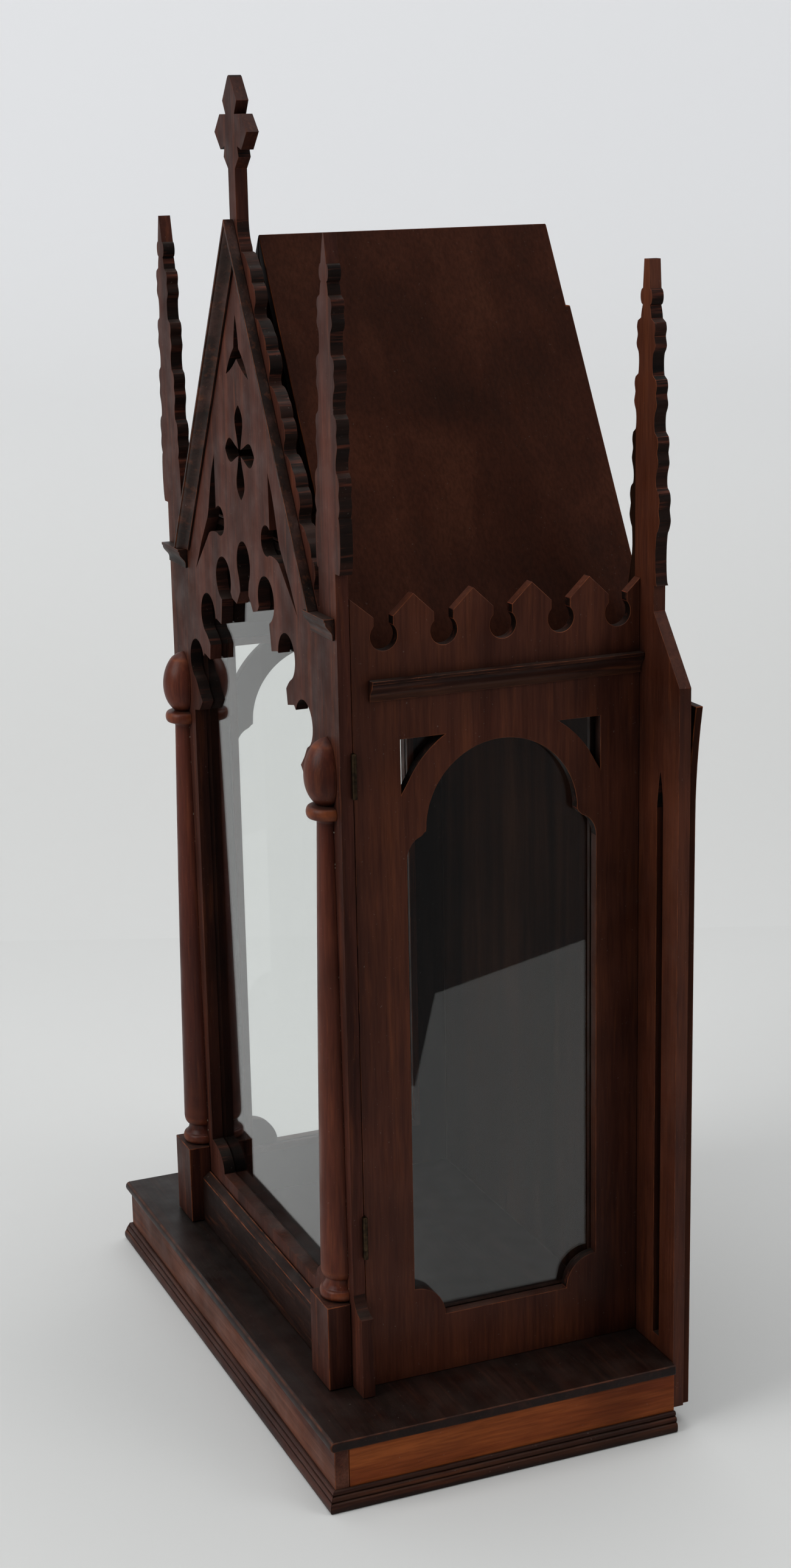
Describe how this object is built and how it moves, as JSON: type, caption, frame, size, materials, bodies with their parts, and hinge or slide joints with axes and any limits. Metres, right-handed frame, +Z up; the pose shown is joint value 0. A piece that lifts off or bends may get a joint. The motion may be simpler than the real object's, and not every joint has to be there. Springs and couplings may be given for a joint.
{
  "type": "house shrine",
  "caption": "Tall wooden house shrine with a fret-cut Gothic gable front that opens as a door, glazed sides, crested walls, pinnacles, split columns and a moulded plinth.",
  "frame": {"origin": "middle of the overall footprint, on the underside of the plinth", "axes": "+Z up, -Y out of the door's face, +X to the side that carries the hinges"},
  "size_m": [0.5966, 0.3556, 1.171],
  "materials": {
    "face_wood": "worn dark varnish",
    "side_wood": "worn dark varnish",
    "roof_wood": "dull dark varnish",
    "plinth_wood": "satin orange-brown varnish",
    "turned_wood": "satin red-brown varnish",
    "moulding_wood": "dark varnish worn on the arrises",
    "clear_glass": "clear",
    "hinge_brass": "tarnished"
  },
  "bodies": {
    "case": {"plinth_front": "face_wood", "plinth_side_right": "plinth_wood", "plinth_side_left": "plinth_wood", "plinth_top": "moulding_wood", "plinth_moulding_front": "moulding_wood", "plinth_moulding_side_right": "moulding_wood", "plinth_moulding_side_left": "moulding_wood", "side_wall_right": "side_wood", "side_wall_left": "side_wood", "cornice_right": "moulding_wood", "cornice_left": "moulding_wood", "side_glass_right": "clear_glass", "side_glass_left": "clear_glass", "side_glass_bead_right": "side_wood", "side_glass_bead_left": "side_wood", "back_board": "side_wood", "back_panel": "roof_wood", "roof_right": "roof_wood", "roof_left": "roof_wood", "hinge_upper_case_leaf": "hinge_brass", "hinge_lower_case_leaf": "hinge_brass"},
    "door": {"facade": "face_wood", "column_right": "turned_wood", "column_left": "turned_wood", "column_block_right": "face_wood", "column_block_left": "face_wood", "door_rail": "face_wood", "rake_right": "moulding_wood", "rake_left": "moulding_wood", "rake_return_right": "moulding_wood", "rake_return_left": "moulding_wood", "door_glass": "clear_glass", "door_glass_bead": "side_wood", "hinge_upper_door_leaf": "hinge_brass", "hinge_lower_door_leaf": "hinge_brass"}
  },
  "joints": [
    {"name": "door_hinge", "type": "hinge", "parent": "case", "child": "door", "pos_m": [0.2205, -0.1101, 0.4], "axis": [0, 0, 1], "range_deg": [0, 95]}
  ]
}
